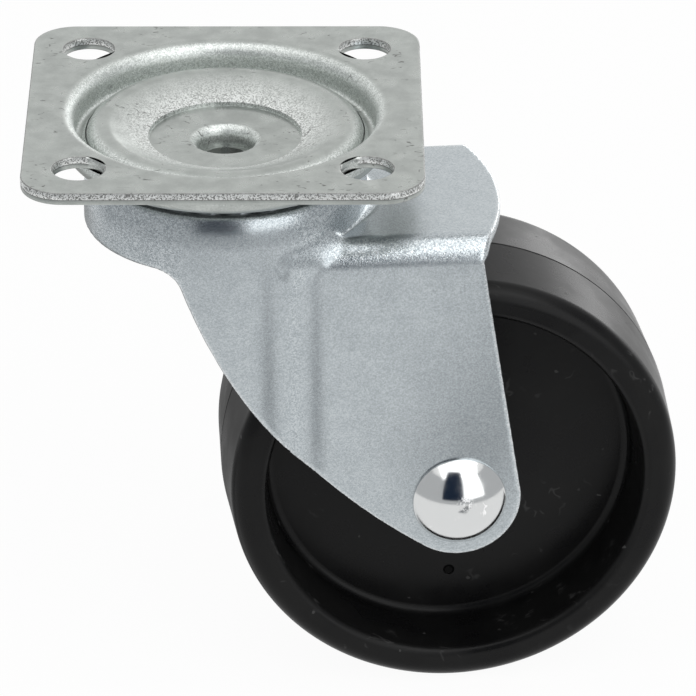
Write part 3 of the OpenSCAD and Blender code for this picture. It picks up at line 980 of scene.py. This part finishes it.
@dataclass
class FoldedFork(SubAssembly):
    """Fork pressed from one sheet: a round head, a web over the wheel and two legs."""

    layout: Layout
    sheet: float = 1.5 * MM
    head_r: float = 15.2 * MM
    head_top: float = -6.002 * MM
    shoulder_r: float = 1.95 * MM
    shoulder_oval: Point = (1.0 * MM, 3.8 * MM)
    track_r: float = 11.81 * MM
    track_z: float = -6.802 * MM
    track_ease: float = 0.8 * MM
    seat_ease: float = 0.5 * MM
    hole_r: float = 7 * MM
    web_z: float = -10.802 * MM
    web_reach: float = 29.4 * MM
    fold_r: float = 2.5 * MM
    fold_power: float = 1.5
    foot_fillet: float = 1.3 * MM
    foot_rise: Point = (-1.4 * MM, -0.3 * MM)
    foot_span: Point = (3 * MM, 9.5 * MM)
    nose_fillet: float = 2 * MM
    nose_rise: Point = (-4.5 * MM, 0.0)
    nose_span: Point = (9.6 * MM, 11.6 * MM)
    wall_swell: float = 0.22 / MM
    side_blend_r: float = 10 * MM
    skirt_z: float = -12.602 * MM
    skirt_run: float = 6.6 * MM
    skirt_fillet: float = 3 * MM
    bow_r: float = 66 * MM
    leg_end_r: float = 6.75 * MM
    axle_r: float = 3 * MM
    ease: float = 0.32 * MM
    cell: float = 0.3 * MM
    margin: float = 2.3
    pulls: int = 4

    def arc(self, centre: Vector, r: float, start: float, stop: float, count: int = 24) -> list[Point]:
        """Gives points along an arc from one angle to another."""
        angles = [start + (stop - start) * k / count for k in range(count + 1)]
        return [(centre.x + r * math.cos(a), centre.y + r * math.sin(a)) for a in angles]

    def outline(self) -> list[Point]:
        """Gives the side view in X and Z: skirt, bowed front edge, round leg end, straight rear."""
        axle = Vector((self.layout.trail, self.layout.axle_z))
        skirt_end = Vector((-self.skirt_run, self.skirt_z))
        top, fold_z = self.head_top + MM, self.web_z - self.fold_r
        chord, gap = unit(skirt_end, axle), (axle - skirt_end).length
        reach = self.bow_r - self.leg_end_r
        along = (gap * gap + self.bow_r ** 2 - reach ** 2) / (2 * gap)
        bow = skirt_end + chord * along + left(chord) * math.sqrt(self.bow_r ** 2 - along ** 2)
        hollow_z = self.skirt_z - self.skirt_fillet
        run = math.sqrt((self.bow_r + self.skirt_fillet) ** 2 - (bow.y - hollow_z) ** 2)
        hollow = Vector((bow.x - run, hollow_z))
        to_bow, to_end = bow - hollow, axle - bow
        rear_top = Vector((math.sqrt(self.web_reach ** 2 - self.layout.leg_y ** 2), fold_z))
        rear = axle - rear_top
        tilt = math.asin(self.leg_end_r / rear.length)
        rear_foot = rear_top + Matrix.Rotation(tilt, 2) @ rear * math.cos(tilt)
        to_rear = rear_foot - axle
        bow_start = math.atan2(to_bow.y, to_bow.x)
        bow_stop = math.atan2(to_end.y, to_end.x)
        rear_stop = math.atan2(to_rear.y, to_rear.x)
        beyond = self.web_reach + 5 * MM
        return [
            (-self.head_r - MM, top),
            (-self.head_r - MM, self.skirt_z),
            *self.arc(hollow, self.skirt_fillet, math.pi / 2, bow_start),
            *self.arc(bow, self.bow_r, bow_start - math.pi, bow_stop, 48),
            *self.arc(axle, self.leg_end_r, bow_stop, rear_stop, 48),
            (rear_top.x, rear_top.y),
            (beyond, fold_z),
            (beyond, top),
        ]

    def flanks(self, x: np.ndarray, y: np.ndarray, inset: float) -> np.ndarray:
        """Gives the distance to the legs' faces in plan, with the hollow blends to the head."""
        away = np.abs(y)
        blend_y = self.layout.leg_y + self.side_blend_r
        blend_r = self.head_r + self.side_blend_r
        blend_x = math.sqrt(blend_r ** 2 - blend_y ** 2)
        ahead = (away * blend_x - x * blend_y) / blend_r
        hollow = self.side_blend_r + inset - np.hypot(x - blend_x, away - blend_y)
        wall = np.hypot(x, away) - self.head_r + inset + self.wall_swell * ahead ** 2
        blended = np.where(ahead < 0.0, hollow, wall)
        return np.maximum(np.where(x < blend_x, blended, away - self.layout.leg_y + inset), -x)

    def body(self, x: np.ndarray, y: np.ndarray, z: np.ndarray, inset: float) -> np.ndarray:
        """Gives the solid under one face of the sheet: inset 0 is the outer face."""
        r, away, above = np.hypot(x, y), np.abs(y), z - self.web_z
        wall, top = r - self.head_r + inset, z - self.head_top + inset
        if inset:
            head = corner(wall, top, self.shoulder_r - inset)
        else:
            head = oval_corner(wall, top, *self.shoulder_oval)
        flanks = self.flanks(x, y, inset)
        channel = corner(flanks, above + inset, self.fold_r - inset, self.fold_power)
        foot = step_up(above, *self.foot_rise) * (1.0 - step_up(away, *self.foot_span))
        nose = step_up(above, *self.nose_rise) * step_up(away, *self.nose_span)
        solid = join(head, channel, self.foot_fillet * foot + self.nose_fillet * nose + 1e-6)
        slope = (self.track_r + z - self.track_z - r) / math.sqrt(2)
        track = -common(self.track_z - z - inset, -slope - inset, self.track_ease)
        return common(solid, track, self.seat_ease)

    def faces(self, x: np.ndarray, y: np.ndarray, z: np.ndarray) -> tuple[np.ndarray, np.ndarray]:
        """Gives the endless sheet, and the solid that its sheared edges and holes leave of it."""
        r = np.hypot(x, y)
        sheet = np.maximum(self.body(x, y, z, 0.0), -self.body(x, y, z, self.sheet))
        side = outline_distance(x, z, self.outline())
        rear = np.minimum(r - self.web_reach, z - self.web_z + self.fold_r)
        axle = self.axle_r - np.hypot(x - self.layout.trail, z - self.layout.axle_z)
        sheared = np.maximum(np.maximum(side, rear), np.maximum(axle, self.hole_r - r))
        return sheet, sheared

    def distance(self, points: np.ndarray) -> np.ndarray:
        """Gives the distance of points to the fork's surface."""
        sheet, sheared = self.faces(points[:, 0], points[:, 1], points[:, 2])
        return common(sheet, sheared, self.ease)

    def slope(self, points: np.ndarray) -> np.ndarray:
        """Gives the direction in which the distance grows at points."""
        reach = 0.02 * MM
        columns = []
        for axis in range(3):
            step = np.zeros(3)
            step[axis] = reach
            columns.append((self.distance(points + step) - self.distance(points - step)) / (2 * reach))
        return np.stack(columns, axis=1)

    def build(self) -> bpy.types.Object:
        """Builds the fork in place of its CAD node and returns it."""
        foot = self.layout.axle_z - self.leg_end_r
        rear = self.layout.trail + self.leg_end_r
        low = np.array((-self.head_r, -self.head_r, foot)) - self.margin * self.cell
        high = np.array((rear, self.head_r, self.head_top)) + self.margin * self.cell
        x, y, z = (np.arange(a, b, self.cell) for a, b in zip(low, high))
        sheet, sheared = self.faces(x[:, None, None], y[None, :, None], z[None, None, :])
        points, quads = net_surface(common(sheet, sheared, self.ease), low, self.cell)
        for _ in range(self.pulls):
            slope = self.slope(points)
            step = self.distance(points) / np.maximum((slope ** 2).sum(axis=1), 0.2)
            farthest = 0.3 * self.cell
            points -= np.clip(step, -farthest, farthest)[:, None] * slope
        normals = self.slope(points)
        normals /= np.linalg.norm(normals, axis=1)[:, None]
        sheet, sheared = self.faces(points[:, 0], points[:, 1], points[:, 2])
        turn = np.array(Matrix.Rotation(self.layout.swivel_turn, 3, "Z"))
        mesh = bpy.data.meshes.new("pressed_fork")
        mesh.from_pydata((points @ turn.T).tolist(), [], quads.tolist())
        mesh.shade_smooth()
        piece = bpy.data.objects.new("pressed_fork", mesh)
        link(piece)
        bent = 1.0 - np.maximum(np.abs(normals[:, 1]), np.abs(normals[:, 2]))
        rim = 1.0 - np.maximum(np.abs(sheet), np.abs(sheared)) / (0.3 * MM)
        mark(piece, Mark.PRESSED, step_up(bent, 0.01, 0.16))
        # A lighter line along the cut edges: rubbed plating, and partly a painted edge highlight.
        mark(piece, Mark.WEAR_AND_HIGHLIGHT, rim)
        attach(piece, Body.FORK.value)
        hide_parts("fork")
        return piece


@dataclass
class SwivelBearing(SubAssembly):
    """Ball rows, lower cup and axle sleeve, kept as their CAD solids."""

    ball_stems: tuple[str, str] = ("upper_ball_", "lower_ball_")
    cup: str = "lower_bearing_cup"
    sleeve: str = "axle_sleeve"

    def balls(self) -> list[bpy.types.Object]:
        """Gives the balls of both rows."""
        return [piece for name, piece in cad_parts.items() if name.startswith(self.ball_stems)]

    def dress_all(self, zinc: bpy.types.Material, steel: bpy.types.Material) -> None:
        """Gives the cup its zinc, and the sleeve and the balls their steel."""
        self.dress(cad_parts[self.cup], zinc)
        for piece in (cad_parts[self.sleeve], *self.balls()):
            self.dress(piece, steel)


# Studio


@dataclass
class Studio:
    """White room: pale floor, soft lamps and dark cards that give the metal something to mirror."""

    floor_z: float = -66.72 * MM
    floor_half: float = 6.0
    aim: Point3 = (0.013, 0.0, -0.03)
    world_light: float = 0.55
    floor_glow: float = 0.95

    def seen(self, graph: Graph) -> bpy.types.NodeSocket:
        """Gives 1 to rays of the eye, of mirrors and of glass, and 0 to the light's own."""
        rays = graph.node("ShaderNodeLightPath").outputs
        straight = graph.math("MAXIMUM", rays["Is Camera Ray"], rays["Is Glossy Ray"])
        return graph.math("MAXIMUM", straight, rays["Is Transmission Ray"])

    def coat(self, piece: bpy.types.Object, name: str) -> tuple[Graph, bpy.types.NodeSocket]:
        """Gives a piece of the stage a new material; returns its graph and its surface's input."""
        material = bpy.data.materials.new(name)
        material.use_nodes = True
        wear(piece, material)
        return Graph(material.node_tree), material.node_tree.nodes["Material Output"].inputs["Surface"]

    def world(self) -> None:
        """Sets a world that is white to the eye and to mirrors, and gentler as a light."""
        world = bpy.data.worlds.new("white_room")
        world.use_nodes = True
        bpy.context.scene.world = world
        graph = Graph(world.node_tree)
        strength = graph.ramp(self.seen(graph), 0.0, 1.0, self.world_light, 1.0)
        background = world.node_tree.nodes["Background"]
        background.inputs["Color"].default_value = (1.0, 1.0, 1.0, 1.0)
        graph.feed(background, "Strength", strength)

    def floor(self) -> None:
        """Lays a white floor that keeps a faint shadow."""
        bm = bmesh.new()
        bmesh.ops.create_grid(bm, x_segments=1, y_segments=1, size=self.floor_half)
        bmesh.ops.translate(bm, verts=bm.verts, vec=(0, 0, self.floor_z))
        piece = make_piece("floor", bm)
        link(piece)
        graph, surface = self.coat(piece, "white_floor")
        matt = graph.node("ShaderNodeBsdfDiffuse", {"Color": (0.92, 0.92, 0.92, 1.0)}).outputs[0]
        white = graph.node("ShaderNodeEmission", {"Color": (1.0, 1.0, 1.0, 1.0)}).outputs[0]
        share = graph.math("MULTIPLY", self.seen(graph), self.floor_glow)
        mixed = graph.node("ShaderNodeMixShader", {0: share, 1: matt, 2: white}).outputs[0]
        graph.tree.links.new(mixed, surface)

    def place(self, azimuth: float, elevation: float, distance: float) -> Vector:
        """Gives a place round the castor: azimuth from the front towards the right, both in degrees."""
        a, e = math.radians(azimuth), math.radians(elevation)
        way = Vector((math.sin(a) * math.cos(e), -math.cos(a) * math.cos(e), math.sin(e)))
        return Vector(self.aim) + way * distance

    def set_up(self, piece: bpy.types.Object, at: Point3, stand: Stand, front: str,
               turn: float = 0.0) -> None:
        """Puts a lamp or card in its place and links it to the scene.

        Args:
            piece: The lamp or card.
            at: Its azimuth, elevation and distance.
            stand: How it is set up.
            front: The piece's own axis that points to the castor.
            turn: Turn of a piece that lies on the floor, in degrees.
        """
        piece.location = self.place(*at)
        facing = Vector(self.aim) - piece.location
        if stand is Stand.UPRIGHT:
            facing.z = 0.0
        piece.rotation_euler = facing.to_track_quat(front, "Y").to_euler()
        if stand is Stand.FLAT:
            piece.location.z = self.floor_z + MM
            piece.rotation_euler = (0.0, 0.0, math.radians(turn))
        piece.visible_camera = False
        link(piece)

    def lamp(self, name: str, at: Point3, size: Point, power: float,
             stand: Stand = Stand.AIMED) -> None:
        """Hangs one soft lamp.

        Args:
            name: Name of the lamp.
            at: Its azimuth, elevation and distance.
            size: Its two sides.
            power: Its power in watts.
            stand: How it is set up.
        """
        data = bpy.data.lights.new(name, "AREA")
        data.shape = "RECTANGLE"
        data.size, data.size_y = size
        data.energy = power
        self.set_up(bpy.data.objects.new(name, data), at, stand, "-Z")

    def card(self, name: str, at: Point3, size: Point, colour: Colour, stand: Stand = Stand.UPRIGHT,
             turn: float = 0.0) -> None:
        """Sets up one flat card that only mirrors see.

        Args:
            name: Name of the card.
            at: Its azimuth, elevation and distance.
            size: Its two sides.
            colour: Its colour.
            stand: How it is set up.
            turn: Turn of a card that lies on the floor, in degrees.
        """
        bm = bmesh.new()
        bmesh.ops.create_grid(bm, x_segments=1, y_segments=1, size=0.5)
        bmesh.ops.scale(bm, verts=bm.verts, vec=(*size, 1.0))
        piece = self.mirrored(name, bm, colour)
        self.set_up(piece, at, stand, "Z", turn)

    def cove(self, name: str, reach: float, radii: Point, height: float, colour: Colour) -> None:
        """Stands a curved wall with a floor before it round the front, which only mirrors see.

        Args:
            name: Name of the cove.
            reach: How far it goes round to each side, in degrees.
            radii: Distance from the castor to the near edge of its floor, and to its wall.
            height: Height of the wall above the floor.
            colour: Its colour.
        """
        bm = bmesh.new()
        steps = 24
        ground = self.floor_z + MM
        rings = []
        for radius, z in ((radii[0], ground), (radii[1], ground), (radii[1], self.floor_z + height)):
            feet = [self.place(reach * k / steps, 0.0, radius) for k in range(-steps, steps + 1)]
            rings.append(loop(bm, [(foot.x, foot.y) for foot in feet], z))
        for a, b in zip(rings, rings[1:]):
            for k in range(2 * steps):
                bm.faces.new((a[k], a[k + 1], b[k + 1], b[k]))
        piece = self.mirrored(name, bm, colour)
        piece.visible_camera = False
        link(piece)

    def mirrored(self, name: str, bm: bmesh.types.BMesh, colour: Colour) -> bpy.types.Object:
        """Makes a piece of the stage that shows one even colour in mirrors only.

        Args:
            name: Name of the piece.
            bm: Its mesh, which is freed.
            colour: The colour it shows.

        Returns:
            The piece, not yet in the scene.
        """
        piece = make_piece(name, bm)
        piece.visible_diffuse = piece.visible_shadow = False
        graph, surface = self.coat(piece, name)
        glow = graph.node("ShaderNodeEmission", {"Color": (*colour, 1.0)}).outputs[0]
        graph.tree.links.new(glow, surface)
        return piece

    def light(self) -> None:
        """Hangs the lamps and stands the cards."""
        self.lamp("top_softbox", (10.0, 66.0, 0.8), (1.2, 0.7), 2.4)
        self.lamp("front_window", (36.0, 34.0, 0.8), (0.5, 1.3), 2.8, Stand.UPRIGHT)
        self.lamp("rear_panel", (150.0, 4.0, 0.9), (0.9, 0.3), 1.6, Stand.UPRIGHT)
        self.cove("front_cove", 115.0, (0.135, 1.6), 1.3, (0.55, 0.56, 0.57))
        self.card("front_flag", (-5.0, 30.0, 0.5), (0.32, 0.66), (0.010, 0.020, 0.042))
        self.card("top_flag", (180.0, 80.0, 0.7), (0.12, 0.16), (0.04, 0.045, 0.05), Stand.AIMED)
        self.card("rear_floor", (-144.0, 0.0, 0.074), (0.12, 0.12), (0.4, 0.4, 0.4), Stand.FLAT)
        self.card("floor_flag", (24.5, 0.0, 0.0830), (0.014, 0.05), (0.3, 0.31, 0.32), Stand.FLAT, 34.5)


@dataclass
class PhotoCamera:
    """Camera at the photograph's viewing angle."""

    azimuth: float = math.radians(-0.426)
    elevation: float = math.radians(27.61)
    roll: float = math.radians(0.124)
    target: Point3 = (13.14 * MM, 0.0, -28.95 * MM)
    distance: float = 587.4 * MM
    lens: float = 279.27
    sensor: float = 36.0

    def build(self) -> None:
        """Makes the camera and hands it to the scene."""
        flat = math.cos(self.elevation)
        across, along = math.sin(self.azimuth) * flat, -math.cos(self.azimuth) * flat
        back = Vector((across, along, math.sin(self.elevation)))
        right = (-back).cross(Vector((0, 0, 1))).normalized()
        up = right.cross(-back)
        side = right * math.cos(self.roll) + up * math.sin(self.roll)
        top = up * math.cos(self.roll) - right * math.sin(self.roll)
        data = bpy.data.cameras.new("photo_camera")
        data.sensor_width = self.sensor
        data.lens = self.lens
        data.clip_start, data.clip_end = 0.01, 50.0
        camera = bpy.data.objects.new("photo_camera", data)
        turn = Matrix((side, top, back)).transposed().to_4x4()
        camera.matrix_world = Matrix.Translation(Vector(self.target) + back * self.distance) @ turn
        link(camera)
        bpy.context.scene.camera = camera


def main() -> None:
    """Builds the castor's looks, its studio and its camera."""
    logging.basicConfig(level=logging.INFO, format="%(name)s: %(message)s")
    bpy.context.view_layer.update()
    bpy.context.scene.view_settings.view_transform = "Standard"
    PhotoCamera().build()
    studio = Studio()
    studio.world()
    studio.floor()
    studio.light()

    layout = Layout()
    axle, wheel = Axle(layout), Wheel(layout)
    plate_zinc = ZincFinish(
        "dull_zinc", colour=(0.425, 0.45, 0.43), dull_colour=(0.345, 0.365, 0.35),
        dirt_and_shade_colour=(0.07, 0.07, 0.065), wear_and_highlight_colour=(0.76, 0.77, 0.76),
        pressed_sheen_colour=(0.62, 0.65, 0.63), roughness=(0.27, 0.34), pressed_roughness=0.14,
        grain=(0.35, 1.8), glint=(0.03, 0.36), scuffs=0.8, scuff_stretch=(260.0, 620.0, 260.0),
        chips=0.85).material()
    fork_zinc = ZincFinish(
        "blue_zinc", colour=(0.475, 0.515, 0.535), dull_colour=(0.455, 0.495, 0.515),
        dirt_and_shade_colour=(0.22, 0.24, 0.25), wear_and_highlight_colour=(0.74, 0.76, 0.77),
        pressed_sheen_colour=(0.47, 0.51, 0.53), roughness=(0.22, 0.26), pressed_roughness=0.0,
        grain=(0.6, 3.0), glint=(0.15, 0.36), scuffs=0.25, scuff_stretch=(700.0, 700.0, 260.0),
        chips=0.0).material()
    rivet_steel = PolishedFinish(
        "polished_rivet", colour=(0.68, 0.69, 0.69), rub_colour=(0.95, 0.95, 0.95),
        roughness=(0.11, 0.17), mark=axle.crown_point()).material()
    ball_steel = PolishedFinish(
        "polished_balls", colour=(0.72, 0.73, 0.74), rub_colour=(0.5, 0.5, 0.5),
        roughness=(0.08, 0.14)).material()
    black = MouldedFinish(
        "black_moulding", colour=(0.004, 0.004, 0.0043), haze_colour=(0.007, 0.007, 0.007),
        scuff_colour=(0.10, 0.10, 0.10), recess_shade_colour=(0.0005, 0.0005, 0.0005),
        roughness=(0.26, 0.36), gloss=0.15, gate=wheel.gate_point()).material()

    for assembly, material in ((MountingPlate(), plate_zinc), (FoldedFork(layout), fork_zinc),
                               (axle, rivet_steel), (wheel, black)):
        assembly.dress(assembly.build(), material)
    SwivelBearing().dress_all(plate_zinc, ball_steel)


if __name__ == "__main__":
    main()
